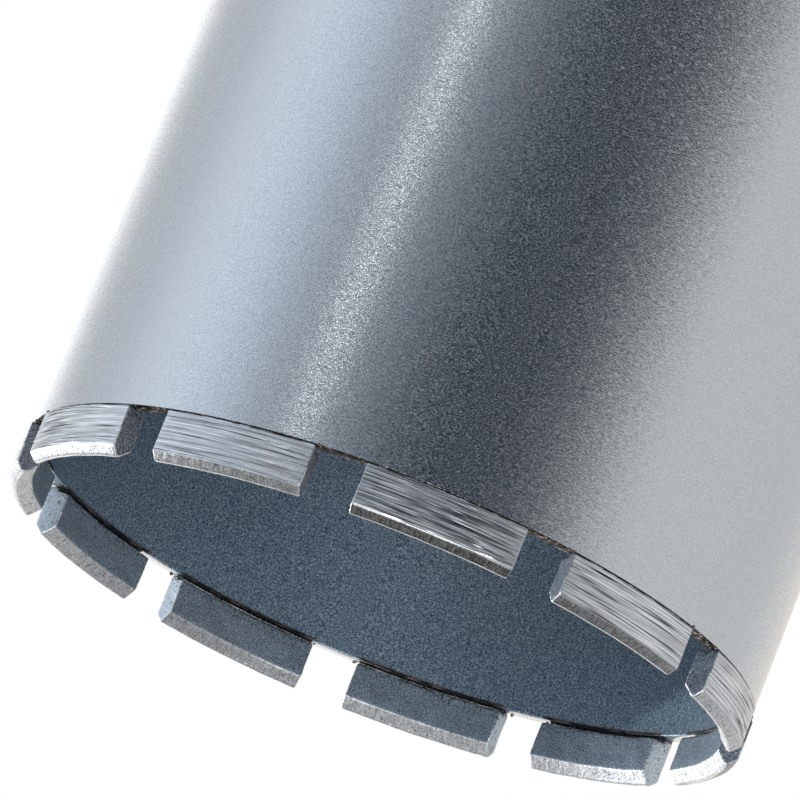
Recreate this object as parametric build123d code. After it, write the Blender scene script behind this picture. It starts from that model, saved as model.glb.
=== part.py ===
from build123d import *
from math import pi, radians, sqrt, tan
import os

os.makedirs("parts", exist_ok=True)

# Diamond core bit, in millimetres. It stands on its hub with +Z along the axis, towards the
# cutting tips. The origin is the centre of the hub's end face, which seats on the spindle.

# Cutting segments
cut_diameter = 112.0        # the hole that the bit drills, over the segments' outer faces
segment_count = 11
segment_length = 24.6       # round the outer face
segment_thickness = 3.5
outer_eave = 6.4            # tube end to the top of the outer face
inner_eave = 5.9            # tube end to the top of the inner face
ridge_height = 7.8          # tube end to the ridge of the roof-shaped tip
ridge_inset = 1.5           # outer face to the ridge
root_height = 0.6           # foot of the segment, under its inner overhang
root_setback = 1.1          # tube's inner wall to the root, which leaves a fine groove inside
outer_relief = 0.5          # the outer face stands out from the tube by this much
edge_break = 0.3            # chamfer on the segment's edges, apart from its ridge

# Tube
tube_wall = 2.2
tube_length = 320.0

# Base plate, which closes the tube's back end
rim_thickness = 5.0         # the part that the tube stands on
spigot_depth = 4.0          # the part inside the tube
rim_chamfer = 1.0
seat_clearance = 0.05       # radial, round the spigots of the plate and the hub

# Hub, with a 1 1/4 inch thread of 7 to the inch, bored plain at the thread's inner diameter
thread_outer = 31.75
thread_inner = 28.2
hexagon_flats = 41.0
hexagon_height = 26.0
hexagon_land = 0.6          # the end face's rim lies this far inside the flats
hexagon_slope = 30.0        # chamfer on the hexagon's corners, in degrees
collar_diameter = 52.0
collar_height = 10.0
collar_chamfer = 1.0
hub_spigot_diameter = 42.0
lead_in = 0.4               # the thread's countersink is this much wider than the thread

# Weld beads
groove_depth = 1.6          # V groove between the plate's rim and the tube
groove_crown = 0.4          # how far the bead in it stands out between its two toes
corner_leg = 5.0            # bead in the corner between the collar and the plate
corner_crown = 0.7

# Places that follow from the sizes
cut_radius = cut_diameter / 2
tube_radius = cut_radius - outer_relief
tube_inner_radius = tube_radius - tube_wall
hub_height = hexagon_height + collar_height
tube_start = hub_height + rim_thickness
tube_end = tube_start + tube_length
spigot_end = tube_start + spigot_depth
countersink = thread_outer / 2 + lead_in - thread_inner / 2


def profile(points):
    """A face in the XZ plane from its corners, each a (radius, height) pair."""
    return make_face(Polyline(*[(r, 0, z) for r, z in points], close=True))


def turned(points):
    """A solid of revolution about Z."""
    return revolve(profile(points), Axis.Z)


def bead(corner, first, last, crown):
    """A weld bead about Z that fills a corner, crowned between its two toes."""
    middle = (Vector(first) + Vector(last)) * 0.5
    top = middle + (middle - Vector(corner)).normalized() * crown
    return turned([corner, first, (top.X, top.Y), last])


def segment():
    """One cutting segment on the +X side: a roof-shaped bar, bent to the tube's curve."""
    inner_radius = cut_radius - segment_thickness
    root_radius = tube_inner_radius + root_setback
    sweep = segment_length / cut_radius * 180 / pi
    body = revolve(
        profile([
            (root_radius, tube_end),
            (cut_radius, tube_end),
            (cut_radius, tube_end + outer_eave),
            (cut_radius - ridge_inset, tube_end + ridge_height),
            (inner_radius, tube_end + inner_eave),
            (inner_radius, tube_end + root_height),
            (root_radius, tube_end + root_height),
        ]),
        Axis.Z,
        revolution_arc=sweep,
    )
    body = Rot(0, 0, -sweep / 2) * body
    above_root = body.edges().filter_by_position(
        Axis.Z, tube_end + root_height, tube_end + ridge_height, inclusive=(False, False)
    )
    return chamfer(above_root, edge_break)


def barrel():
    """The thin tube, chamfered outside at its back end for the weld."""
    return turned([
        (tube_inner_radius, tube_start),
        (tube_radius - groove_depth, tube_start),
        (tube_radius, tube_start + groove_depth),
        (tube_radius, tube_end),
        (tube_inner_radius, tube_end),
    ])


def base_plate():
    """A turned disc: its rim carries the tube, and its spigot centres the tube inside."""
    hole = hub_spigot_diameter / 2 + seat_clearance
    return turned([
        (hole, hub_height),
        (tube_radius - rim_chamfer, hub_height),
        (tube_radius, hub_height + rim_chamfer),
        (tube_radius, tube_start - groove_depth),
        (tube_radius - groove_depth, tube_start),
        (tube_inner_radius - seat_clearance, tube_start),
        (tube_inner_radius - seat_clearance, spigot_end),
        (hole, spigot_end),
    ])


def hub():
    """Hexagon, round collar and spigot in one turned and milled piece, bored through."""
    corner_radius = hexagon_flats / sqrt(3)
    end_radius = hexagon_flats / 2 - hexagon_land
    slope = (corner_radius - end_radius) * tan(radians(hexagon_slope))
    hexagon = extrude(
        RegularPolygon(hexagon_flats / 2, 6, major_radius=False), hexagon_height
    )
    hexagon &= turned([
        (0, 0),
        (end_radius, 0),
        (corner_radius, slope),
        (corner_radius, hexagon_height),
        (0, hexagon_height),
    ])
    collar_radius = collar_diameter / 2
    collar = turned([
        (0, hexagon_height),
        (collar_radius - collar_chamfer, hexagon_height),
        (collar_radius, hexagon_height + collar_chamfer),
        (collar_radius, hub_height),
        (hub_spigot_diameter / 2, hub_height),
        (hub_spigot_diameter / 2, spigot_end),
        (0, spigot_end),
    ])
    bore_radius = thread_inner / 2
    bore = turned([
        (0, 0),
        (bore_radius + countersink, 0),
        (bore_radius, countersink),
        (bore_radius, spigot_end - countersink),
        (bore_radius + countersink, spigot_end),
        (0, spigot_end),
    ])
    return hexagon + collar - bore


def barrel_weld():
    return bead(
        (tube_radius - groove_depth, tube_start),
        (tube_radius, tube_start - groove_depth),
        (tube_radius, tube_start + groove_depth),
        groove_crown,
    )


def hub_weld():
    collar_radius = collar_diameter / 2
    return bead(
        (collar_radius, hub_height),
        (collar_radius, hub_height - corner_leg),
        (collar_radius + corner_leg, hub_height),
        corner_crown,
    )


nodes = {
    "barrel": barrel(),
    "base_plate": base_plate(),
    "hub": hub(),
    "barrel_weld": barrel_weld(),
    "hub_weld": hub_weld(),
}
one_segment = segment()
for number in range(segment_count):
    turn = 360 / segment_count * number - 90     # the first segment faces -Y
    nodes[f"segment_{number + 1:02d}"] = Rot(0, 0, turn) * one_segment

for name, solid in nodes.items():
    export_step(solid, f"parts/{name}.step")
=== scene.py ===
import math
import random

import bpy
from mathutils import Matrix, Quaternion, Vector


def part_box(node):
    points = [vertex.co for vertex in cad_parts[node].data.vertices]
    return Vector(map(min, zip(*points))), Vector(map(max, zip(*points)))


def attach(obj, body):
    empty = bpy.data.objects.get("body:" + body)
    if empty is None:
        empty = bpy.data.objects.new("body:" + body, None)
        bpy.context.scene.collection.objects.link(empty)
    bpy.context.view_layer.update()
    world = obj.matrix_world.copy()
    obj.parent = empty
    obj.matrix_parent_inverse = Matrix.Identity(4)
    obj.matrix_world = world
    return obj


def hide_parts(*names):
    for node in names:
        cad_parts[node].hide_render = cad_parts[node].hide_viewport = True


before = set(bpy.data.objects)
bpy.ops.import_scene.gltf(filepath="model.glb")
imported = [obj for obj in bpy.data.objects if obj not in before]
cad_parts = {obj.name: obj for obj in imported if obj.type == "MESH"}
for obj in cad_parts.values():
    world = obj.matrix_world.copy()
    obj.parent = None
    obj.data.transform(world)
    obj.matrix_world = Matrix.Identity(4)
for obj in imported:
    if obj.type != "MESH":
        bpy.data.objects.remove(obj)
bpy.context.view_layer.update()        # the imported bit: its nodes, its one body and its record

mm = 0.001
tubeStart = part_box("barrel")[0].z
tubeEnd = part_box("barrel")[1].z        # the mouth, where the segments stand
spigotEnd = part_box("hub")[1].z         # the top of the hub, inside the tube
cutRadius = 56 * mm
tubeRadius = 55.5 * mm
tubeWall = 2.2 * mm
segmentCount = 11
ridgeInset = 1.5 * mm                  # a segment's outer face to its ridge
scene = bpy.context.scene


# small tools for modelling

def deselectAll():
    if bpy.context.object and bpy.context.object.mode != "OBJECT":
        bpy.ops.object.mode_set(mode="OBJECT")
    bpy.ops.object.select_all(action="DESELECT")


def takeUp(piece):
    deselectAll()
    piece.select_set(True)
    bpy.context.view_layer.objects.active = piece


def newPiece(name):        # the primitive that was just added
    piece = bpy.context.object
    piece.name = name
    piece.data.name = name
    return piece


def pick(piece, kind, test):        # selects faces, edges or points by place, in edit mode
    takeUp(piece)
    bpy.ops.object.mode_set(mode="EDIT")
    bpy.ops.mesh.select_mode(type=kind)
    bpy.ops.mesh.select_all(action="DESELECT")
    bpy.ops.object.mode_set(mode="OBJECT")
    points = piece.data.vertices
    if kind == "FACE":
        for face in piece.data.polygons:
            face.select = test(face.center, face.normal)
    elif kind == "EDGE":
        for edge in piece.data.edges:
            a, b = (points[i].co for i in edge.vertices)
            edge.select = test(a, b)
    else:
        for point in points:
            point.select = test(point.co)
    bpy.ops.object.mode_set(mode="EDIT")


def pickAll(piece):
    takeUp(piece)
    bpy.ops.object.mode_set(mode="EDIT")
    bpy.ops.mesh.select_all(action="SELECT")


def doneEditing():
    bpy.ops.object.mode_set(mode="OBJECT")


def applyModifier(piece, kind, **settings):
    takeUp(piece)
    modifier = piece.modifiers.new(kind.lower(), kind)
    for name, value in settings.items():
        setattr(modifier, name, value)
    bpy.ops.object.modifier_apply(modifier=modifier.name)


def applyPlace(piece):
    takeUp(piece)
    bpy.ops.object.transform_apply(location=True, rotation=True, scale=True)


def smoothShading(piece, angle):
    takeUp(piece)
    bpy.ops.object.shade_smooth_by_angle(angle=math.radians(angle))


def near(value, target, slack=0.02 * mm):
    return abs(value - target) < slack


def radiusOf(point):
    return math.hypot(point.x, point.y)


def shareOf(value, low, high):        # 0 up to low, 1 from high on
    return min(1, max(0, (value - low) / (high - low)))


def joinAll(parts, name):
    deselectAll()
    for part in parts:
        part.select_set(True)
    bpy.context.view_layer.objects.active = parts[0]
    bpy.ops.object.join()
    return newPiece(name)


def heading(turn, rise):        # one unit away from the bit, at degrees round it and above level
    turn, rise = math.radians(turn), math.radians(rise)
    return Vector((
        math.cos(rise) * math.cos(turn), math.cos(rise) * math.sin(turn), math.sin(rise)))


def keep(piece, material, replaced=()):        # hands a finished piece to the frame
    piece.data.materials.clear()
    for one in material if isinstance(material, list) else [material]:
        piece.data.materials.append(one)
    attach(piece, "root")
    if replaced:
        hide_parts(*replaced)


# small tools for materials

def linear(hexColour):
    parts = [int(hexColour[i:i + 2], 16) / 255 for i in (1, 3, 5)]
    return [c / 12.92 if c <= 0.04045 else ((c + 0.055) / 1.055) ** 2.4 for c in parts] + [1]


def addNode(tree, kind, settings=None, links=None):
    # settings are the node's own, where stops are a ramp's (place, colour) pairs, and links are
    # what its sockets hold or are fed by
    node = tree.nodes.new(kind)
    for name, value in (settings or {}).items():
        if name == "stops":
            band = node.color_ramp
            for place, colour in value[2:]:
                band.elements.new(place)
            for element, (place, colour) in zip(band.elements, value):
                element.position = place
                element.color = linear(colour) if isinstance(colour, str) else colour
        else:
            setattr(node, name, value)
    for name, value in (links or {}).items():
        if isinstance(value, bpy.types.NodeSocket):
            tree.links.new(value, node.inputs[name])
        else:
            node.inputs[name].default_value = value
    return node


def newMaterial(name, base, metallic, roughness, **sockets):
    material = bpy.data.materials.new(name)
    material.use_nodes = True
    tree = material.node_tree
    shader = tree.nodes["Principled BSDF"]
    shader.inputs["Base Color"].default_value = linear(base)
    shader.inputs["Metallic"].default_value = metallic
    shader.inputs["Roughness"].default_value = roughness
    for socket, value in sockets.items():
        shader.inputs[socket.replace("_", " ")].default_value = value
    return material, tree, shader


def marks(tree, place, sizes, detail=2, fade=0.5, shift=(0, 0, 0)):
    # an uneven field of marks; sizes are theirs in millimetres along X, Y and Z
    scaled = addNode(tree, "ShaderNodeMapping", links={
        "Vector": place, "Scale": [1 / (size * mm) for size in sizes], "Location": shift})
    return addNode(tree, "ShaderNodeTexNoise", links={
        "Vector": scaled.outputs["Vector"], "Scale": 1, "Detail": detail,
        "Roughness": fade}).outputs["Fac"]


def lean(tree, shader, normal, girth, axis):
    # tips the surface by small slopes, given as (pattern, slope) pairs, round the girth and
    # along the axis of the bit
    place = addNode(tree, "ShaderNodeTexCoord").outputs["Object"]
    cross = addNode(tree, "ShaderNodeVectorMath", {"operation": "CROSS_PRODUCT"}, {
        0: (0, 0, 1), 1: place})
    along = addNode(tree, "ShaderNodeVectorMath", {"operation": "NORMALIZE"}, {
        0: cross.outputs[0]})
    steps = [(along.outputs[0], pattern, slope) for pattern, slope in girth]
    steps += [((0, 0, 1), pattern, slope) for pattern, slope in axis]
    for direction, pattern, slope in steps:
        amount = addNode(tree, "ShaderNodeMath", {"operation": "MULTIPLY_ADD"}, {
            0: pattern, 1: slope, 2: -slope / 2})
        step = addNode(tree, "ShaderNodeVectorMath", {"operation": "SCALE"}, {
            0: direction, "Scale": amount.outputs[0]})
        normal = addNode(tree, "ShaderNodeVectorMath", {"operation": "ADD"}, {
            0: normal, 1: step.outputs[0]}).outputs[0]
    unit = addNode(tree, "ShaderNodeVectorMath", {"operation": "NORMALIZE"}, {0: normal})
    tree.links.new(unit.outputs[0], shader.inputs["Normal"])


# camera: long lens, above the mouth's plane, nearly upside down

cameraSetup = {
    "turn": -86.50,                       # degrees round the bit from +X
    "rise": 14.31,                        # degrees above the plane of the mouth
    "distance": 1.3733,                   # metres from the mouth's centre
    "aim": (8.376 * mm, -5.615 * mm, -23.26 * mm),        # from the mouth's centre
    "roll": -158.158,                     # degrees about the line of sight
    "lens": 431.75,                       # millimetres, as is the sensor's width
    "sensor": 36,
    "sightEnds": 50,                      # metres
}


def makeCamera():
    mouth = Vector((0, 0, tubeEnd))
    data = bpy.data.cameras.new("camera")
    data.lens = cameraSetup["lens"]
    data.sensor_width = cameraSetup["sensor"]
    data.clip_end = cameraSetup["sightEnds"]
    camera = bpy.data.objects.new("camera", data)
    scene.collection.objects.link(camera)
    away = heading(cameraSetup["turn"], cameraSetup["rise"])
    camera.location = mouth + away * cameraSetup["distance"]
    view = (mouth + Vector(cameraSetup["aim"]) - camera.location).to_track_quat("-Z", "Y")
    roll = Quaternion((0, 0, 1), math.radians(cameraSetup["roll"]))
    camera.rotation_euler = (view @ roll).to_euler()
    scene.camera = camera


makeCamera()
print("camera placed")


# light: a pale tent round the bit, dark where the camera looks in

tent = {
    # azimuth in degrees from +X, and the wall's brightness and tint there
    "wall": [
        (-180, 0.85, "#FFFFFF"), (-143, 0.86, "#FFFFFF"), (-130, 0.40, "#FAFCFF"),
        (-118, 0.14, "#E0EEFF"), (-106, 0.085, "#C8DEFF"), (-92, 0.065, "#BCD6FF"),
        (-78, 0.09, "#BCD6FF"), (-60, 0.32, "#DCEBFF"), (-40, 0.34, "#E4F0FF"),
        (-24, 0.80, "#E4F0FF"), (-10, 1.14, "#E8F2FF"), (4, 1.22, "#ECF4FF"),
        (16, 1.10, "#ECF4FF"), (26, 0.88, "#ECF4FF"), (40, 0.76, "#F4F9FF"),
        (50, 0.72, "#FAFCFF"), (60, 0.92, "#FFFFFF"), (70, 1.42, "#FFFFFF"),
        (85, 1.66, "#FFFFFF"), (97, 1.30, "#FFF5EC"), (109, 1.12, "#FFF6EE"),
        (121, 1.00, "#FFFAF5"), (133, 0.90, "#FFFEFC"), (146, 0.79, "#FFFFFF"),
        (160, 0.82, "#FFFFFF"), (180, 0.85, "#FFFFFF")],
    "roof": (0.32, 0.52),            # brightness overhead, leaning to -X and to +X
    "roofBlend": (-0.45, 0.45),      # places along X on the unit sphere between which it changes
    "roofStarts": (0.30, 0.80),      # heights there between which it takes over from the wall
}


def makeWorld():
    world = bpy.data.worlds.new("tent")
    scene.world = world
    world.use_nodes = True
    tree = world.node_tree
    tree.nodes.clear()
    direction = addNode(tree, "ShaderNodeTexCoord").outputs["Generated"]
    split = addNode(tree, "ShaderNodeSeparateXYZ", links={"Vector": direction})
    azimuth = addNode(tree, "ShaderNodeMath", {"operation": "ARCTAN2"}, {
        0: split.outputs["Y"], 1: split.outputs["X"]})
    share = addNode(tree, "ShaderNodeMapRange", links={
        "Value": azimuth.outputs[0], "From Min": -math.pi, "From Max": math.pi})
    stops = [((degrees + 180) / 360, [level * c for c in linear(tint)[:3]] + [1])
             for degrees, level, tint in tent["wall"]]
    wall = addNode(tree, "ShaderNodeValToRGB", {"stops": stops}, {"Fac": share.outputs[0]})
    overhead = addNode(tree, "ShaderNodeMapRange", {"interpolation_type": "SMOOTHSTEP"}, {
        "Value": split.outputs["X"], "From Min": tent["roofBlend"][0],
        "From Max": tent["roofBlend"][1], "To Min": tent["roof"][0],
        "To Max": tent["roof"][1]})
    height = addNode(tree, "ShaderNodeMapRange", {"interpolation_type": "SMOOTHSTEP"}, {
        "Value": split.outputs["Z"], "From Min": tent["roofStarts"][0],
        "From Max": tent["roofStarts"][1]})
    sky = addNode(tree, "ShaderNodeMix", {"data_type": "RGBA"}, {
        "Factor": height.outputs[0], 6: wall.outputs["Color"], 7: overhead.outputs[0]})
    lit = addNode(tree, "ShaderNodeBackground", links={"Color": sky.outputs[2], "Strength": 1})
    white = addNode(tree, "ShaderNodeBackground", links={"Color": (1, 1, 1, 1), "Strength": 1})
    path = addNode(tree, "ShaderNodeLightPath")
    mix = addNode(tree, "ShaderNodeMixShader", links={
        0: path.outputs["Is Camera Ray"], 1: lit.outputs[0], 2: white.outputs[0]})
    addNode(tree, "ShaderNodeOutputWorld", links={"Surface": mix.outputs[0]})


lamps = {
    # azimuth and elevation in degrees, distance in metres, width and height in metres, watts
    "strip": (-47.5, -22, 1.2, 0.055, 0.50, 0.38),
    "front": (-82, 34, 1.5, 0.26, 0.3, 12),
    "key": (41, 18, 1.8, 0.11, 0.11, 24),
}


def makeLamps():
    target = Vector((0, 0, tubeEnd))
    for name, (turn, rise, distance, width, height, watts) in lamps.items():
        data = bpy.data.lights.new(name, "AREA")
        data.shape = "RECTANGLE"
        data.size, data.size_y, data.energy = width, height, watts
        lamp = bpy.data.objects.new(name, data)
        scene.collection.objects.link(lamp)
        away = heading(turn, rise)
        lamp.location = target + away * distance
        lamp.rotation_euler = (-away).to_track_quat("-Z", "Y").to_euler()
        lamp.visible_camera = False


floorSize = {        # a table top that fades out, so that the tube mirrors the tent round it
    "radius": 0.6,
    "sides": 96,
    "fade": (0.15, 0.588),       # metres from the middle, from whole to clear
    "glow": 0.35,                # what the camera sees added, which makes it white
}


def makeFloor():
    bpy.ops.mesh.primitive_circle_add(
        vertices=floorSize["sides"], radius=floorSize["radius"], fill_type="NGON")
    floor = newPiece("floor")
    material, tree, shader = newMaterial("paintedFloor", "#F4F4F4", 0, 0.9)
    output = tree.nodes["Material Output"]
    white = addNode(tree, "ShaderNodeEmission", links={
        "Color": (1, 1, 1, 1), "Strength": floorSize["glow"]})
    both = addNode(tree, "ShaderNodeAddShader", links={0: shader.outputs[0], 1: white.outputs[0]})
    path = addNode(tree, "ShaderNodeLightPath")
    mix = addNode(tree, "ShaderNodeMixShader", links={
        0: path.outputs["Is Camera Ray"], 1: shader.outputs[0], 2: both.outputs[0]})
    place = addNode(tree, "ShaderNodeTexCoord").outputs["Object"]
    reach = addNode(tree, "ShaderNodeVectorMath", {"operation": "LENGTH"}, {0: place})
    fade = addNode(tree, "ShaderNodeMapRange", {"interpolation_type": "SMOOTHSTEP"}, {
        "Value": reach.outputs["Value"], "From Min": floorSize["fade"][0],
        "From Max": floorSize["fade"][1]})
    clear = addNode(tree, "ShaderNodeBsdfTransparent")
    faded = addNode(tree, "ShaderNodeMixShader", links={
        0: fade.outputs[0], 1: mix.outputs[0], 2: clear.outputs[0]})
    tree.links.new(faded.outputs[0], output.inputs["Surface"])
    floor.data.materials.append(material)


makeWorld()
makeLamps()
makeFloor()
print("studio ready")


# materials

tubeFinish = {
    # millimetres along X, Y and Z: a belt's marks are finer than the render can show, so these
    # are drawn as coarse as they need to be to show
    "dashes": (0.70, 0.70, 0.11),
    "grit": (0.16, 0.16, 0.12),
    "faint": (0.30, 0.30, 0.16),         # glossier and duller spots
    "breaks": (0.55, 0.55, 0.5),         # where the rings are broken
    "pitch": 0.42 * mm,          # from ring to ring
    "waver": 14,                 # how far the breaks push a ring out of step, in radians
    "girth": {"rings": 0.08, "dashes": 0.12, "grit": 0.22},      # slopes round the tube
    "axis": {"rings": 0.25, "dashes": 0.34, "grit": 0.17},       # slopes along it
    "roughness": (0.16, 0.36),   # of the glossiest and the dullest spots
    "tones": [(0.3, "#B3B8BC"), (0.7, "#CED2D5")],
}


def groundTubeSteel():
    # cold-drawn steel tube, belt-ground round its girth and satin: short ring marks catch the
    # light at the edge of each reflection
    finish = tubeFinish
    material, tree, shader = newMaterial("groundTubeSteel", "#C3C7CA", 1, 0.26)
    place = addNode(tree, "ShaderNodeTexCoord").outputs["Object"]
    dashes = marks(tree, place, finish["dashes"], detail=0)
    grit = marks(tree, place, finish["grit"], detail=0)
    faint = marks(tree, place, finish["faint"], detail=0, shift=(3, 1, 2))
    breaks = marks(tree, place, finish["breaks"], detail=0)
    split = addNode(tree, "ShaderNodeSeparateXYZ", links={"Vector": place})
    turned = addNode(tree, "ShaderNodeMath", {"operation": "MULTIPLY"}, {
        0: split.outputs["Z"], 1: 2 * math.pi / finish["pitch"]})
    broken = addNode(tree, "ShaderNodeMath", {"operation": "MULTIPLY_ADD"}, {
        0: breaks, 1: finish["waver"], 2: turned.outputs[0]})
    wave = addNode(tree, "ShaderNodeMath", {"operation": "SINE"}, {0: broken.outputs[0]})
    rings = addNode(tree, "ShaderNodeMath", {"operation": "MULTIPLY_ADD"}, {
        0: wave.outputs[0], 1: 0.5, 2: 0.5})
    patterns = {"rings": rings.outputs[0], "dashes": dashes, "grit": grit}
    normal = addNode(tree, "ShaderNodeNewGeometry").outputs["Normal"]
    girth, axis = ([(patterns[name], slope) for name, slope in finish[way].items()]
                   for way in ("girth", "axis"))
    lean(tree, shader, normal, girth, axis)
    rough = addNode(tree, "ShaderNodeMapRange", links={
        "Value": faint, "From Min": 0.3, "From Max": 0.7, "To Min": finish["roughness"][0],
        "To Max": finish["roughness"][1]})
    tree.links.new(rough.outputs[0], shader.inputs["Roughness"])
    clean = addNode(tree, "ShaderNodeValToRGB", {"stops": finish["tones"]}, {"Fac": grit})
    tree.links.new(clean.outputs[0], shader.inputs["Base Color"])
    return material


def oxideAndShadeSteel():
    # the tube's end face after laser welding: mottled oxide, nearly black to straw, where the
    # weld was hottest; its darkness is also painted shade along the joint with the segments
    material, tree, shader = newMaterial(
        "oxideAndShadeSteel", "#35302B", 0.2, 0.7, Specular_IOR_Level=0.08)
    place = addNode(tree, "ShaderNodeTexCoord").outputs["Object"]
    spots = marks(tree, place, (0.8, 0.8, 0.8), detail=3, fade=0.7)
    oxide = addNode(tree, "ShaderNodeValToRGB", {"stops": [
        (0.36, "#0E0D0D"), (0.50, "#2C2825"), (0.60, "#6A625A"), (0.68, "#CFC8BE")]}, {
        "Fac": spots})
    tree.links.new(oxide.outputs[0], shader.inputs["Base Color"])
    return material


insideFinish = {
    "grit": (0.26, 0.26, 0.22),      # millimetres along X, Y and Z, coarser than the real speckle
    "speckle": [(0.32, "#314353"), (0.5, "#798FA2"), (0.66, "#CCDCE6")],
    "relief": 0.05 * mm,
    "bandBlotches": (2, 2, 0.5),            # blotches in the band of heat tint and painted shade
    # near black to brown: heat tint, and painted shade that widens the dark line at the joint with
    # each segment
    "tintAndShade": [(0.46, "#121111"), (0.70, "#6E5E50")],
    "tintAndShadeBand": (0.7 * mm, 0.3 * mm),       # below the mouth, where it starts and is full
    # to either side of a segment's middle, in pitches, where it ends and where it is full
    "tintAndShadeReach": (0.41, 0.37),
}


def drawnTubeSteel():
    # the tube's inside keeps its drawn and oiled finish: blue-grey, evenly matt, finely speckled,
    # and at the mouth behind each segment a near-black to brown band: heat tint, and painted shade
    # that widens the dark line at the joint
    finish = insideFinish
    material, tree, shader = newMaterial("drawnTubeSteel", "#798FA2", 0.75, 0.44)
    place = addNode(tree, "ShaderNodeTexCoord").outputs["Object"]
    grit = marks(tree, place, finish["grit"], detail=2, fade=0.8)
    speckle = addNode(tree, "ShaderNodeValToRGB", {"stops": finish["speckle"]}, {"Fac": grit})
    tintAndShade = addNode(tree, "ShaderNodeValToRGB", {"stops": finish["tintAndShade"]}, {
        "Fac": marks(tree, place, finish["bandBlotches"], detail=3)})
    split = addNode(tree, "ShaderNodeSeparateXYZ", links={"Vector": place})
    mouth = addNode(tree, "ShaderNodeMapRange", links={
        "Value": split.outputs["Z"], "From Min": tubeEnd - finish["tintAndShadeBand"][0],
        "From Max": tubeEnd - finish["tintAndShadeBand"][1]})
    # the tint and painted shade lie only behind a segment: how far round it is from the nearest
    # one's middle
    azimuth = addNode(tree, "ShaderNodeMath", {"operation": "ARCTAN2"}, {
        0: split.outputs["Y"], 1: split.outputs["X"]})
    pitches = addNode(tree, "ShaderNodeMath", {"operation": "MULTIPLY_ADD"}, {
        0: azimuth.outputs[0], 1: segmentCount / (2 * math.pi), 2: segmentCount / 4})
    off = addNode(tree, "ShaderNodeMath", {"operation": "PINGPONG"}, {
        0: pitches.outputs[0], 1: 0.5})
    behind = addNode(tree, "ShaderNodeMapRange", links={
        "Value": off.outputs[0], "From Min": finish["tintAndShadeReach"][0],
        "From Max": finish["tintAndShadeReach"][1]})
    tintedAndShaded = addNode(tree, "ShaderNodeMath", {"operation": "MULTIPLY"}, {
        0: mouth.outputs[0], 1: behind.outputs[0]})
    colour = addNode(tree, "ShaderNodeMix", {"data_type": "RGBA"}, {
        "Factor": tintedAndShaded.outputs[0], 6: speckle.outputs[0], 7: tintAndShade.outputs[0]})
    tree.links.new(colour.outputs[2], shader.inputs["Base Color"])
    normal = addNode(tree, "ShaderNodeBump", links={
        "Height": grit, "Distance": finish["relief"]})
    tree.links.new(normal.outputs["Normal"], shader.inputs["Normal"])
    return material


turnedFinish = {
    "feed": 0.35 * mm,           # from mark to mark, coarser than a fine cut so that it shows
    "depth": 0.006 * mm,
    "faced": 0.6,                # faces that look up or down more than this were faced off
    "wear": (7, 7, 3),           # patches, in millimetres along X, Y and Z
    "tones": [(0.3, "#8F9193"), (0.55, "#ADAFB1"), (0.75, "#C0C2C4")],
}


def turnedSteel():
    # mild steel off the lathe, with feed marks round it and rings on its flat faces
    finish = turnedFinish
    material, tree, shader = newMaterial("turnedSteel", "#A9ABAD", 1, 0.34)
    place = addNode(tree, "ShaderNodeTexCoord").outputs["Object"]
    flat = addNode(tree, "ShaderNodeVectorMath", {"operation": "MULTIPLY"}, {
        0: place, 1: (1, 1, 0)})
    radius = addNode(tree, "ShaderNodeVectorMath", {"operation": "LENGTH"}, {0: flat.outputs[0]})
    height = addNode(tree, "ShaderNodeSeparateXYZ", links={"Vector": place})
    facing = addNode(tree, "ShaderNodeSeparateXYZ", links={
        "Vector": addNode(tree, "ShaderNodeNewGeometry").outputs["Normal"]})
    level = addNode(tree, "ShaderNodeMath", {"operation": "ABSOLUTE"}, {0: facing.outputs["Z"]})
    faced = addNode(tree, "ShaderNodeMath", {"operation": "GREATER_THAN"}, {
        0: level.outputs[0], 1: finish["faced"]})
    feed = addNode(tree, "ShaderNodeMix", {"data_type": "FLOAT"}, {
        "Factor": faced.outputs[0], 2: height.outputs["Z"], 3: radius.outputs["Value"]})
    rings = addNode(tree, "ShaderNodeMath", {"operation": "MULTIPLY"}, {
        0: feed.outputs[0], 1: 2 * math.pi / finish["feed"]})
    wave = addNode(tree, "ShaderNodeMath", {"operation": "SINE"}, {0: rings.outputs[0]})
    normal = addNode(tree, "ShaderNodeBump", links={
        "Height": wave.outputs[0], "Distance": finish["depth"]})
    tree.links.new(normal.outputs["Normal"], shader.inputs["Normal"])
    worn = addNode(tree, "ShaderNodeValToRGB", {"stops": finish["tones"]}, {
        "Fac": marks(tree, place, finish["wear"], detail=4)})
    tree.links.new(worn.outputs[0], shader.inputs["Base Color"])
    return material


weldFinish = {
    "tint": (6, 6, 3),           # patches, in millimetres along X, Y and Z
    "tones": [(0.3, "#4F4B49"), (0.55, "#77736F"), (0.7, "#8A7C68")],
    "skin": (0.4, 0.4, 0.4),
    "relief": 0.03 * mm,
}


def weldMetal():
    # wire-brushed bead, darker and a little straw-coloured from the heat
    finish = weldFinish
    material, tree, shader = newMaterial("weldMetal", "#6E6A66", 1, 0.42)
    place = addNode(tree, "ShaderNodeTexCoord").outputs["Object"]
    heat = addNode(tree, "ShaderNodeValToRGB", {"stops": finish["tones"]}, {
        "Fac": marks(tree, place, finish["tint"], detail=2)})
    tree.links.new(heat.outputs[0], shader.inputs["Base Color"])
    normal = addNode(tree, "ShaderNodeBump", links={
        "Height": marks(tree, place, finish["skin"], detail=3), "Distance": finish["relief"]})
    tree.links.new(normal.outputs["Normal"], shader.inputs["Normal"])
    return material


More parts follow.
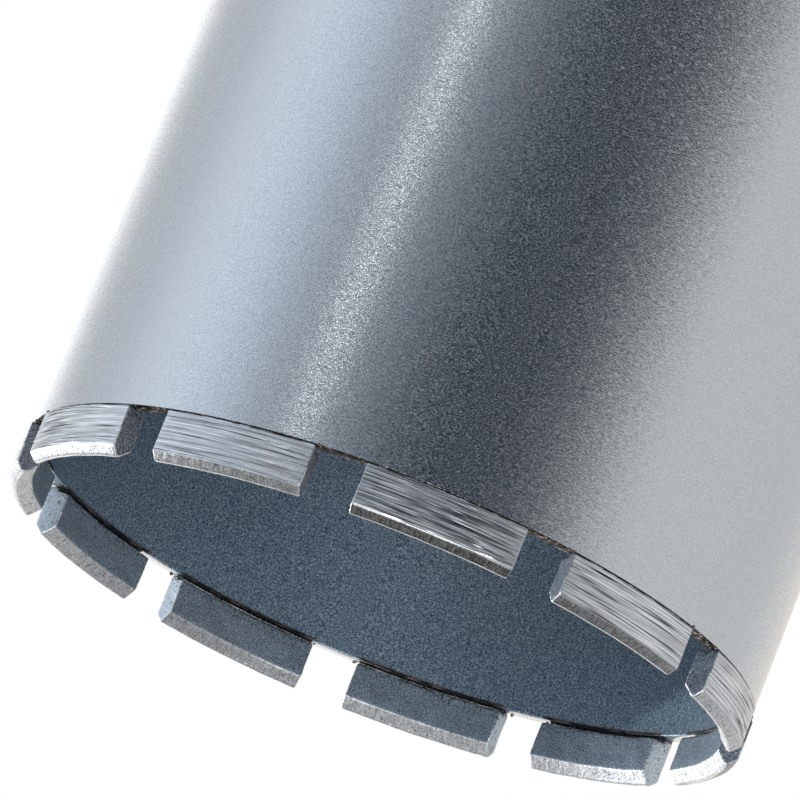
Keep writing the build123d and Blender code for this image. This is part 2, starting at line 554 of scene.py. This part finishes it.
matrixFinish = {
    # millimetres along the bar, through it and up it: real grit and scores are finer than the
    # render can show, so these are drawn as coarse as they need to be to show
    "lines": (12, 12, 0.24),             # scores on the ground face
    "grains": (0.22, 0.22, 0.22),        # where it is as moulded
    "pits": (0.3, 0.3, 0.3),
    "strokes": (0.34, 2.2, 2.2),         # across the slopes of the tip
    "breaks": (3, 3, 2),                 # in the dark line at the joint
    "scuffs": (1.2, 0.6, 0.6),           # duller spots on the worn edges
    "polish": (9, 0.35, 0.24),           # duller streaks on the ground face
    "chips": (2, 0.5, 0.5),              # what makes the worn edges uneven
    "blots": (0.5, 0.5, 0.5),            # weld splashes
    "flicks": (5, 5, 0.13),              # scores that tip the face and so flash
    "seamAndShade": (0.32 * mm, 0.16 * mm),      # above the tube, where it ends and where it is full
    "foot": (2.6 * mm, 0.4 * mm),        # above the tube, where weld splashes are likelier
    "splashes": 0.11,                    # how much likelier
    "relief": 0.05 * mm,
    "grindSlope": 1.0,                   # how far a score tips the face across the bar
    "scoreSlope": 1.4,                   # and up it
    "raw": [(0.3, "#353F48"), (0.5, "#738290"), (0.7, "#AAB8C3")],
    "soot": [(0.3, "#2A2E34"), (0.5, "#656B74"), (0.72, "#ABB1B9")],
    "bare": [(0.3, "#8B97A1"), (0.42, "#B2BEC7"), (0.7, "#D8DFE4")],
    "inner": [(0.34, "#8C8E91"), (0.47, "#B8BBBE"), (0.62, "#DEE2E5")],
    # the darker tones of the outer slopes: painted shade
    "outer": [(0.34, "#383839"), (0.47, "#636364"), (0.62, "#989797")],
    "ground": [(0.31, "#2E3134"), (0.41, "#A9ACAF"), (0.52, "#C4C7CA"), (0.64, "#E2E5E8")],
    "edge": [(0.3, "#AEB2B5"), (0.6, "#EEF0F1")],
    "dark": [(0.4, "#17181A"), (0.6, "#3A3835")],
}


def sinteredMatrix():
    # bronze and cobalt powder sintered round diamond grit: dark and granular as moulded, bright
    # and scored where it has been ground, polished along its worn edges
    finish = matrixFinish
    material, tree, shader = newMaterial("sinteredMatrix", "#8F8F8E", 1, 0.4)
    bar = addNode(tree, "ShaderNodeAttribute", {"attribute_name": "barPlace"}).outputs["Vector"]
    shares = addNode(tree, "ShaderNodeAttribute", {"attribute_name": "barFinish"})
    share = addNode(tree, "ShaderNodeSeparateXYZ", links={"Vector": shares.outputs["Vector"]})
    ground, slope, worn = (share.outputs[axis] for axis in "XYZ")
    bare = addNode(tree, "ShaderNodeAttribute", {"attribute_name": "barBare"}).outputs["Fac"]
    roofShade = addNode(tree, "ShaderNodeAttribute", {"attribute_name": "barDull"}).outputs["Fac"]
    lines = marks(tree, bar, finish["lines"], detail=1)
    grains = marks(tree, bar, finish["grains"], detail=2, fade=0.7)
    pits = marks(tree, bar, finish["pits"], detail=2, fade=0.6, shift=(5, 2, 7))
    strokes = marks(tree, bar, finish["strokes"], detail=2, fade=0.6)
    worked = addNode(tree, "ShaderNodeMix", {"data_type": "FLOAT"}, {
        "Factor": 0.4, 2: pits, 3: strokes}).outputs[0]
    patterns = {"raw": grains, "soot": grains, "bare": pits, "inner": worked, "outer": worked,
                "ground": lines, "edge": pits, "dark": pits}
    tone = {}
    for name, pattern in patterns.items():
        ramp = addNode(tree, "ShaderNodeValToRGB", {"stops": finish[name]}, {"Fac": pattern})
        tone[name] = ramp.outputs[0]
    # the outer slope of the tip, darkened by each segment's own number: painted shade
    split = addNode(tree, "ShaderNodeSeparateXYZ", links={"Vector": bar})
    outside = addNode(tree, "ShaderNodeMath", {"operation": "LESS_THAN"}, {
        0: split.outputs["Y"], 1: ridgeInset})
    roof = addNode(tree, "ShaderNodeMath", {"operation": "MULTIPLY"}, {
        0: outside.outputs[0], 1: slope})
    shadedOuterSlope = addNode(tree, "ShaderNodeMath", {"operation": "MULTIPLY"}, {
        0: roof.outputs[0], 1: roofShade})
    # the broken dark line along the tube's end: the weld seam's own dark colour, and painted shade
    # of the gap at the joint
    low = addNode(tree, "ShaderNodeMapRange", links={
        "Value": split.outputs["Z"], "From Min": finish["seamAndShade"][0],
        "From Max": finish["seamAndShade"][1]})
    broken = addNode(tree, "ShaderNodeMapRange", links={
        "Value": marks(tree, bar, finish["breaks"], detail=3), "From Min": 0.46,
        "From Max": 0.52})
    seamAndShade = addNode(tree, "ShaderNodeMath", {"operation": "MULTIPLY"}, {
        0: low.outputs[0], 1: broken.outputs[0]})
    sooty = addNode(tree, "ShaderNodeMath", {"operation": "MULTIPLY"}, {0: bare, 1: -1})
    pores = addNode(tree, "ShaderNodeMapRange", links={
        "Value": pits, "From Min": 0.31, "From Max": 0.27})
    openPores = addNode(tree, "ShaderNodeMath", {"operation": "MULTIPLY"}, {
        0: pores.outputs[0], 1: ground})
    # roughness of the worn edges and of the ground face
    scuffed = addNode(tree, "ShaderNodeMapRange", links={
        "Value": marks(tree, bar, finish["scuffs"], detail=2, shift=(2, 9, 4)),
        "From Min": 0.42, "From Max": 0.58, "To Min": 0.65, "To Max": 0.34})
    polished = addNode(tree, "ShaderNodeMapRange", links={
        "Value": marks(tree, bar, finish["polish"], detail=1, shift=(6, 1, 8)),
        "From Min": 0.40, "From Max": 0.60, "To Min": 0.55, "To Max": 0.24})
    chips = marks(tree, bar, finish["chips"], detail=1, shift=(8, 3, 1))
    chipped = addNode(tree, "ShaderNodeMath", {"operation": "MULTIPLY_ADD"}, {
        0: chips, 1: 1.2, 2: worn})
    edge = addNode(tree, "ShaderNodeMapRange", links={
        "Value": chipped.outputs[0], "From Min": 1.05, "From Max": 1.35})
    # splashes of weld near the foot of what was never ground
    foot = addNode(tree, "ShaderNodeMapRange", links={
        "Value": split.outputs["Z"], "From Min": finish["foot"][0],
        "From Max": finish["foot"][1]})
    blots = addNode(tree, "ShaderNodeMath", {"operation": "MULTIPLY_ADD"}, {
        0: foot.outputs[0], 1: finish["splashes"],
        2: marks(tree, bar, finish["blots"], detail=2, shift=(1, 4, 6))})
    splashed = addNode(tree, "ShaderNodeMapRange", links={
        "Value": blots.outputs[0], "From Min": 0.62, "From Max": 0.70, "To Max": 0.7})
    unground = addNode(tree, "ShaderNodeMath", {"operation": "LESS_THAN"}, {0: ground, 1: 0.1})
    splash = addNode(tree, "ShaderNodeMath", {"operation": "MULTIPLY"}, {
        0: splashed.outputs[0], 1: unground.outputs[0]})
    layers = [      # share of each finish, its colour, metallic and roughness, one over the other
        (bare, tone["bare"], 0.9, 0.45),
        (sooty.outputs[0], tone["soot"], 0.3, 0.65),
        (slope, tone["inner"], 1.0, 0.45),
        # painted shade on each segment's outer slope
        (shadedOuterSlope.outputs[0], tone["outer"], 1.0, 0.36),
        (splash.outputs[0], tone["dark"], 0.6, 0.7),
        (ground, tone["ground"], 1.0, polished.outputs[0]),
        (openPores.outputs[0], tone["dark"], 0.6, 0.7),
        (edge.outputs[0], tone["edge"], 1.0, scuffed.outputs[0]),
        # the dark line at the foot: weld seam, and painted shade of the gap at the joint
        (seamAndShade.outputs[0], tone["dark"], 0.6, 0.7)]
    colour, metallic, rough = tone["raw"], 0.45, 0.6
    for factor, over, metal, roughness in layers:
        colour = addNode(tree, "ShaderNodeMix", {"data_type": "RGBA"}, {
            "Factor": factor, 6: colour, 7: over}).outputs[2]
        metallic = addNode(tree, "ShaderNodeMix", {"data_type": "FLOAT"}, {
            "Factor": factor, 2: metallic, 3: metal}).outputs[0]
        rough = addNode(tree, "ShaderNodeMix", {"data_type": "FLOAT"}, {
            "Factor": factor, 2: rough, 3: roughness}).outputs[0]
    tree.links.new(colour, shader.inputs["Base Color"])
    tree.links.new(metallic, shader.inputs["Metallic"])
    tree.links.new(rough, shader.inputs["Roughness"])
    # grains stand out where it is as moulded, and scores tip the ground face and the edges
    height = addNode(tree, "ShaderNodeMix", {"data_type": "FLOAT"}, {
        "Factor": ground, 2: grains, 3: 0.5})
    normal = addNode(tree, "ShaderNodeBump", links={
        "Height": height.outputs[0], "Distance": finish["relief"]})
    flicks = marks(tree, bar, finish["flicks"], detail=1)
    scored = addNode(tree, "ShaderNodeMath", {"operation": "MAXIMUM"}, {
        0: ground, 1: edge.outputs[0]})
    scores = addNode(tree, "ShaderNodeMix", {"data_type": "FLOAT"}, {
        "Factor": scored.outputs[0], 2: 0.5, 3: flicks}).outputs[0]
    lean(tree, shader, normal.outputs["Normal"], [(scores, finish["grindSlope"])],
         [(scores, finish["scoreSlope"])])
    return material


steelOutside = groundTubeSteel()
steelInside = drawnTubeSteel()
steelMouth = oxideAndShadeSteel()
steelTurned = turnedSteel()
steelWeld = weldMetal()
diamondMatrix = sinteredMatrix()
print("materials mixed")


# tube

barrelSize = {
    "sides": 720,
    "mouthEdge": 0.2 * mm,
    "backChamfer": 1.6 * mm,
    "rings": (0.3, 0.8, 2, 6, 20, 60, 140, 240),        # millimetres from the mouth
    "level": 0.3,            # a face that looks up more than this is on the mouth
    "upright": 0.5,          # a face that looks up or down less than this is on a wall
}


def makeBarrel():
    size = barrelSize
    bpy.ops.mesh.primitive_cylinder_add(
        vertices=size["sides"], radius=tubeRadius, depth=tubeEnd - tubeStart,
        end_fill_type="NOTHING", location=(0, 0, (tubeStart + tubeEnd) / 2))
    tube = newPiece("steel_tube")
    applyPlace(tube)
    for ring in size["rings"]:
        pickAll(tube)
        bpy.ops.mesh.bisect(plane_co=(0, 0, tubeEnd - ring * mm), plane_no=(0, 0, 1))
        doneEditing()
    applyModifier(tube, "SOLIDIFY", thickness=tubeWall, offset=-1, use_even_offset=True)
    outside = tubeRadius - 0.05 * mm
    pick(tube, "EDGE", lambda a, b: near(a.z, tubeStart) and near(b.z, tubeStart)
         and radiusOf(a) > outside and radiusOf(b) > outside)
    bpy.ops.mesh.bevel(offset=size["backChamfer"], offset_type="WIDTH", segments=1)
    doneEditing()
    # the mouth's two rims, without the edges that cross the end face from one to the other
    pick(tube, "EDGE", lambda a, b: near(a.z, tubeEnd) and near(b.z, tubeEnd)
         and near(radiusOf(a), radiusOf(b), 0.3 * mm) and (b - a).length < tubeWall * 0.6)
    bpy.ops.mesh.bevel(offset=size["mouthEdge"], segments=2)
    doneEditing()
    # steel outside, its drawn finish inside, and on the end face's -Y half dark mottled oxide:
    # heat tint, and painted shade that darkens the joint line with the segments
    for face in tube.data.polygons:
        inward = face.normal.x * face.center.x + face.normal.y * face.center.y < 0
        wall = abs(face.normal.z) < size["upright"]
        tintAndShade = face.normal.z > size["level"] and face.center.y < 0
        face.material_index = 1 if inward and wall else 2 if tintAndShade else 0
    smoothShading(tube, 30)
    return tube


tube = makeBarrel()
faceMaterials = [face.material_index for face in tube.data.polygons]
keep(tube, [steelOutside, steelInside, steelMouth], ["barrel"])
for face, index in zip(tube.data.polygons, faceMaterials):
    face.material_index = index
print("tube", len(tube.data.polygons), "faces")


# segments, each modelled straight and bent to the tube's curve

segmentSize = {
    "length": 24.6 * mm,
    "thickness": 3.5 * mm,
    "outerEave": 6.4 * mm,
    "innerEave": 5.9 * mm,
    "ridge": 7.8 * mm,
    "ridgeInset": ridgeInset,
    "rootHeight": 0.6 * mm,
    "rootDepth": 1.6 * mm,        # outer face to the root's inner side
    "ridgeRound": 0.6 * mm,
    "innerRound": 0.15 * mm,
    "edgeRound": 0.3 * mm,
    "sharp": 35,                  # degrees, from which an edge is rounded
    "grid": 0.16 * mm,
    # how far each end has been rubbed bare, at -X and at +X of the straight bar: 1 is bare metal,
    # 0 as moulded and -1 sooty
    "bareEnds": {5: (1, -0.5), 6: (1, 0.3), 7: (0.5, 0.8), 8: (0.3, 1), 9: (0.2, -0.3),
                 10: (-1, -0.2), 11: (-1, -0.3)},
    "otherEnds": (-1, -1),
    # how dark the outer slope of each tip is: painted shade, set for each segment by how it is lit
    "shadedRoofs": {1: 1.0, 2: 0.5, 3: 0.45, 4: 0.5, 10: 0.05, 11: 0.6},
    "otherShadedRoofs": 0.82,
    "wornEave": 0.6 * mm,         # from the outer face: the eave is worn less than the other edges
    "marksApart": 60 * mm,        # from one segment's marks to the next one's
}


def makeStraightBar():
    size = segmentSize
    bpy.ops.mesh.primitive_cube_add(size=1, location=(
        0, size["thickness"] / 2, (size["rootHeight"] + size["innerEave"]) / 2), scale=(
        size["length"], size["thickness"], size["innerEave"] - size["rootHeight"]))
    bar = newPiece("segment_bar")
    applyPlace(bar)
    pickAll(bar)
    bpy.ops.mesh.bisect(plane_co=(0, size["ridgeInset"], 0), plane_no=(0, 1, 0))
    bpy.ops.mesh.select_all(action="SELECT")
    bpy.ops.mesh.bisect(plane_co=(0, size["rootDepth"], 0), plane_no=(0, 1, 0))
    doneEditing()
    # raise the ridge, the row between it and the inner eave, and the outer eave
    pick(bar, "VERT", lambda p: near(p.y, size["ridgeInset"]) and near(p.z, size["innerEave"]))
    bpy.ops.transform.translate(value=(0, 0, size["ridge"] - size["innerEave"]))
    doneEditing()
    slope = (size["ridge"] - size["innerEave"]) / (size["thickness"] - size["ridgeInset"])
    pick(bar, "VERT", lambda p: near(p.y, size["rootDepth"]) and near(p.z, size["innerEave"]))
    bpy.ops.transform.translate(value=(0, 0, (size["thickness"] - size["rootDepth"]) * slope))
    doneEditing()
    pick(bar, "VERT", lambda p: near(p.y, 0) and near(p.z, size["innerEave"]))
    bpy.ops.transform.translate(value=(0, 0, size["outerEave"] - size["innerEave"]))
    doneEditing()
    # draw the root down to the tube's end
    pick(bar, "FACE", lambda c, n: n.z < -0.9 and c.y < size["rootDepth"])
    bpy.ops.mesh.extrude_region_move(
        TRANSFORM_OT_translate={"value": (0, 0, -size["rootHeight"])})
    doneEditing()
    # round the ridge, then the inner eave, then the other edges
    pick(bar, "EDGE", lambda a, b: all(
        near(p.y, size["ridgeInset"]) and p.z > size["outerEave"] for p in (a, b)))
    bpy.ops.mesh.bevel(offset=size["ridgeRound"], segments=3)
    doneEditing()
    pick(bar, "EDGE", lambda a, b: all(
        near(p.y, size["thickness"]) and near(p.z, size["innerEave"]) for p in (a, b)))
    bpy.ops.mesh.bevel(offset=size["innerRound"], segments=3)
    doneEditing()
    applyModifier(bar, "BEVEL", width=size["edgeRound"], segments=3, limit_method="ANGLE",
                  angle_limit=math.radians(size["sharp"]))
    applyModifier(bar, "REMESH", mode="VOXEL", voxel_size=size["grid"])
    applyModifier(bar, "SMOOTH", factor=0.5, iterations=3)
    return bar


facing = {
    # how squarely a point has to face a way to start to count as such, and to count fully
    "flat": (0.90, 0.97),        # any of the bar's own faces, and so not on an edge
    "ground": (0.80, 0.95),      # outwards
    "raw": (0.6, 0.9),           # inwards or to an end
    "roof": (0.35, 0.6),         # upwards
}


def noteSurface(bar):        # keeps each point's place and finish on the straight bar
    size = segmentSize
    outer = Vector((0, size["outerEave"] - size["ridge"], size["ridgeInset"])).normalized()
    inner = Vector((0, size["ridge"] - size["innerEave"],
                    size["thickness"] - size["ridgeInset"])).normalized()
    sides = [Vector((0, -1, 0)), Vector((0, 1, 0)), Vector((1, 0, 0)), Vector((-1, 0, 0)),
             outer, inner]
    groups = {name: bar.vertex_groups.new(name=name) for name in ("ground", "raw", "roof")}
    places, finishes, ends = [], [], []
    for point in bar.data.vertices:
        n = point.normal
        onTop = point.co.z > size["innerEave"] * 0.6
        flatness = max(n.dot(side) for side in sides)
        edge = (1 - shareOf(flatness, *facing["flat"])) if onTop and n.z > -0.2 else 0
        if point.co.y < size["wornEave"] and abs(n.x) < 0.3:
            edge *= 0.5
        shares = {"ground": shareOf(-n.y, *facing["ground"]),
                  "raw": shareOf(max(abs(n.x), n.y), *facing["raw"]),
                  "roof": shareOf(n.z, *facing["roof"])}
        for name, share in shares.items():
            if share > 0:
                groups[name].add([point.index], share, "REPLACE")
        places += list(point.co)
        finishes += (shares["ground"], shares["roof"], edge)
        ends.append(math.copysign(shareOf(abs(n.x), *facing["raw"]), n.x))
    for name, values in (("barPlace", places), ("barFinish", finishes)):
        bar.data.attributes.new(name, "FLOAT_VECTOR", "POINT").data.foreach_set("vector", values)
    bar.data.attributes.new("barBare", "FLOAT", "POINT").data.foreach_set("value", ends)


def setFinish(bar, number):        # gives one segment its own ends, outer slope and marks
    size = segmentSize
    minus, plus = size["bareEnds"].get(number, size["otherEnds"])
    for entry in bar.data.attributes["barBare"].data:
        entry.value = entry.value * plus if entry.value > 0 else -entry.value * minus
    roofShade = size["shadedRoofs"].get(number, size["otherShadedRoofs"])
    bar.data.attributes.new("barDull", "FLOAT", "POINT").data.foreach_set(
        "value", [roofShade] * len(bar.data.vertices))
    for entry in bar.data.attributes["barPlace"].data:
        entry.vector.x += number * size["marksApart"]


relief = {
    # region: (grain along the bar, through it, up it, relief, level left unmoved), millimetres
    "ground": [(14, 2, 0.5, 0.02, 1)],
    "raw": [(0.5, 0.5, 0.5, 0.08, 0.5), (4, 4, 4, 0.30, 0.7)],
    "roof": [(0.5, 0.9, 0.9, 0.05, 0.6)],
    "": [(3.5, 3.5, 3.5, 0.10, 0.9)],
}
reliefShift = (0.37, 0.11, 0.23)        # from one segment's relief to the next one's, in metres


def roughen(bar, number):
    cloud = bpy.data.textures.new("grain", "CLOUDS")
    cloud.noise_scale = 1
    cloud.noise_depth = 1
    for region, layers in relief.items():
        for along, through, up, depth, level in layers:
            guide = bpy.data.objects.new("guide", None)
            scene.collection.objects.link(guide)
            guide.scale = (along * mm, through * mm, up * mm)
            guide.location = [number * shift for shift in reliefShift]
            bpy.context.view_layer.update()
            applyModifier(bar, "DISPLACE", texture=cloud, texture_coords="OBJECT",
                          texture_coords_object=guide, strength=depth * mm, mid_level=level,
                          vertex_group=region)
            bpy.data.objects.remove(guide)
    bpy.data.textures.remove(cloud)


def bendToTube(bar, number):
    sweep = segmentSize["length"] / cutRadius
    applyModifier(bar, "SIMPLE_DEFORM", deform_method="BEND", deform_axis="Z", angle=sweep)
    turn = Matrix.Rotation(2 * math.pi / segmentCount * number, 4, "Z")
    bar.matrix_world = turn @ Matrix.Translation((0, -cutRadius, tubeEnd))
    applyPlace(bar)


straightBar = makeStraightBar()
noteSurface(straightBar)
print("straight bar", len(straightBar.data.polygons), "faces")
for number in range(segmentCount):
    segment = straightBar.copy()
    segment.data = straightBar.data.copy()
    scene.collection.objects.link(segment)
    segment.name = f"diamond_segment_{number + 1:02d}"
    setFinish(segment, number + 1)
    roughen(segment, number + 1)
    bendToTube(segment, number)
    smoothShading(segment, 60)
    keep(segment, diamondMatrix, [f"segment_{number + 1:02d}"])
bpy.data.objects.remove(straightBar)
print("segments bent and placed")


# burrs and spatter where the segments were welded to the mouth

spatterSize = {
    "seed": 7,
    "perCorner": 5,
    "radius": (0.12, 0.32),      # millimetres, as are the spread, the reaches and the rise
    "spread": (-0.14, 0.7),      # from the segment's end, a little under it and out past it
    "reaches": (0.45, 1.4),      # inside the cutting circle: by the tube's outside or on its end
    "sunk": 0.3,                 # share of its radius
    "rise": (-0.25, 0.1),        # from the tube's end
    "tumble": 3,                 # radians, at most, about each axis
    "stretch": ((0.5, 0.9), (0.6, 1.5)),        # along its own Y and Z
}


def makeSpatter():
    size = spatterSize
    shuffle = random.Random(size["seed"])
    half = segmentSize["length"] / cutRadius / 2
    drops = []
    for number in range(segmentCount):
        middle = 2 * math.pi / segmentCount * number - math.pi / 2
        for side in (-1, 1):
            for _ in range(size["perCorner"]):
                radius = shuffle.uniform(*size["radius"]) * mm
                turn = middle + side * (half + shuffle.uniform(*size["spread"]) * mm / cutRadius)
                reach = cutRadius - shuffle.choice(size["reaches"]) * mm - radius * size["sunk"]
                rise = shuffle.uniform(*size["rise"]) * mm
                bpy.ops.mesh.primitive_ico_sphere_add(
                    subdivisions=2, radius=radius,
                    location=(reach * math.cos(turn), reach * math.sin(turn), tubeEnd + rise),
                    rotation=[shuffle.uniform(0, size["tumble"]) for _ in "XYZ"],
                    scale=[1] + [shuffle.uniform(*span) for span in size["stretch"]])
                drops.append(bpy.context.object)
    spatter = joinAll(drops, "weld_spatter")
    applyPlace(spatter)
    smoothShading(spatter, 50)
    return spatter


keep(makeSpatter(), steelWeld)
print("spatter added")


# hub, with its real thread

hubSize = {
    "pitch": 25.4 / 7 * mm,
    "boreRadius": 14.1 * mm,
    "threadRadius": 15.875 * mm,
    "crest": 0.23 * mm,           # half the flat at the bottom of the groove
    "mouth": 1.55 * mm,           # half the groove's width at the bore
    "clear": 0.3 * mm,            # the cutter starts this far inside the bore
    "flare": 0.17 * mm,           # and is this much wider there, to each side
    "lead": 1.5,                  # turns of the cutter that lie before the end face
    "spare": 3,                   # turns that it has more than the hub is long
    "steps": 60,
    "edge": 0.35 * mm,
    "sharp": 28,                  # degrees, from which an edge is rounded
}


def makeThreadTool():
    size = hubSize
    turns = math.ceil(spigotEnd / size["pitch"]) + size["spare"]
    inside, wide = size["boreRadius"] - size["clear"], size["mouth"] + size["flare"]
    bpy.ops.mesh.primitive_plane_add(size=1)
    tool = newPiece("thread_tool")
    pick(tool, "FACE", lambda c, n: True)
    bpy.ops.mesh.delete(type="ONLY_FACE")
    doneEditing()
    corners = [(inside, -wide), (size["threadRadius"], -size["crest"]), (inside, wide),
               (size["threadRadius"], size["crest"])]
    for point, (reach, rise) in zip(tool.data.vertices, corners):
        point.co = (reach, 0, rise - size["lead"] * size["pitch"])
    applyModifier(tool, "SCREW", axis="Z", screw_offset=size["pitch"], iterations=turns,
                  steps=size["steps"], render_steps=size["steps"], angle=2 * math.pi,
                  use_merge_vertices=False)
    pickAll(tool)
    bpy.ops.mesh.remove_doubles(threshold=0.001 * mm)
    bpy.ops.mesh.fill_holes(sides=4)
    bpy.ops.mesh.select_all(action="SELECT")
    bpy.ops.mesh.normals_make_consistent(inside=False)
    doneEditing()
    return tool


def makeHub():
    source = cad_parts["hub"]
    hub = source.copy()
    hub.data = source.data.copy()
    scene.collection.objects.link(hub)
    hub.name = "threaded_hub"
    pickAll(hub)
    bpy.ops.mesh.remove_doubles(threshold=0.002 * mm)
    bpy.ops.mesh.dissolve_limited(angle_limit=math.radians(0.5))
    doneEditing()
    tool = makeThreadTool()
    applyModifier(hub, "BEVEL", width=hubSize["edge"], segments=2, limit_method="ANGLE",
                  angle_limit=math.radians(hubSize["sharp"]), use_clamp_overlap=True)
    applyModifier(hub, "BOOLEAN", operation="DIFFERENCE", object=tool, solver="EXACT")
    bpy.data.objects.remove(tool)
    smoothShading(hub, 25)
    return hub


hub = makeHub()
keep(hub, steelTurned, ["hub"])
print("hub", len(hub.data.polygons), "faces")


# weld beads: one ripple, copied round and run together

beadSize = {
    # millimetres: the row's radius and height, half sizes of a ripple outwards, round and up
    "barrel_weld": {"radius": 54.2, "height": 41.0, "half": (1.6, 1.35, 1.75), "tip": 0,
                    "count": 200, "grid": 0.26},
    "hub_weld": {"radius": 27.6, "height": 34.4, "half": (1.95, 1.8, 3.4), "tip": 45,
                 "count": 72, "grid": 0.30},
}
rippleTurn = -22                 # degrees about Z, so that the ripples lie at a slant
rippleShuffle = {
    "step": (-0.12, 0.12),       # shares of the way to the next ripple
    "reach": (-0.10, 0.05),      # millimetres
    "scale": (0.94, 1.0),
}


def makeBead(name, size):
    shuffle = random.Random(size["count"])
    bpy.ops.mesh.primitive_ico_sphere_add(subdivisions=3, radius=1)
    ripple = newPiece("ripple")
    pickAll(ripple)
    bpy.ops.transform.resize(value=[half * mm for half in size["half"]])
    for axis, angle in (("Z", rippleTurn), ("Y", -size["tip"])):
        bpy.ops.transform.rotate(
            value=math.radians(angle), orient_axis=axis, center_override=(0, 0, 0))
    doneEditing()
    copies = []
    for number in range(size["count"]):
        copy = ripple.copy()
        copy.data = ripple.data.copy()
        scene.collection.objects.link(copy)
        turn = 2 * math.pi * (number + shuffle.uniform(*rippleShuffle["step"])) / size["count"]
        reach = (size["radius"] + shuffle.uniform(*rippleShuffle["reach"])) * mm
        copy.matrix_world = (Matrix.Rotation(turn, 4, "Z")
                             @ Matrix.Translation((reach, 0, size["height"] * mm))
                             @ Matrix.Scale(shuffle.uniform(*rippleShuffle["scale"]), 4))
        copies.append(copy)
    bpy.data.objects.remove(ripple)
    bead = joinAll(copies, name + "_bead")
    applyPlace(bead)
    applyModifier(bead, "REMESH", mode="VOXEL", voxel_size=size["grid"] * mm)
    applyModifier(bead, "SMOOTH", factor=0.5, iterations=2)
    smoothShading(bead, 60)
    keep(bead, steelWeld, [name])
    print(name, len(bead.data.polygons), "faces")


for name, size in beadSize.items():
    makeBead(name, size)


# the base plate keeps its solid

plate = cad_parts["base_plate"]
plate.data.materials.clear()
plate.data.materials.append(steelTurned)
print("base plate dressed")

scene.view_settings.view_transform = "Standard"
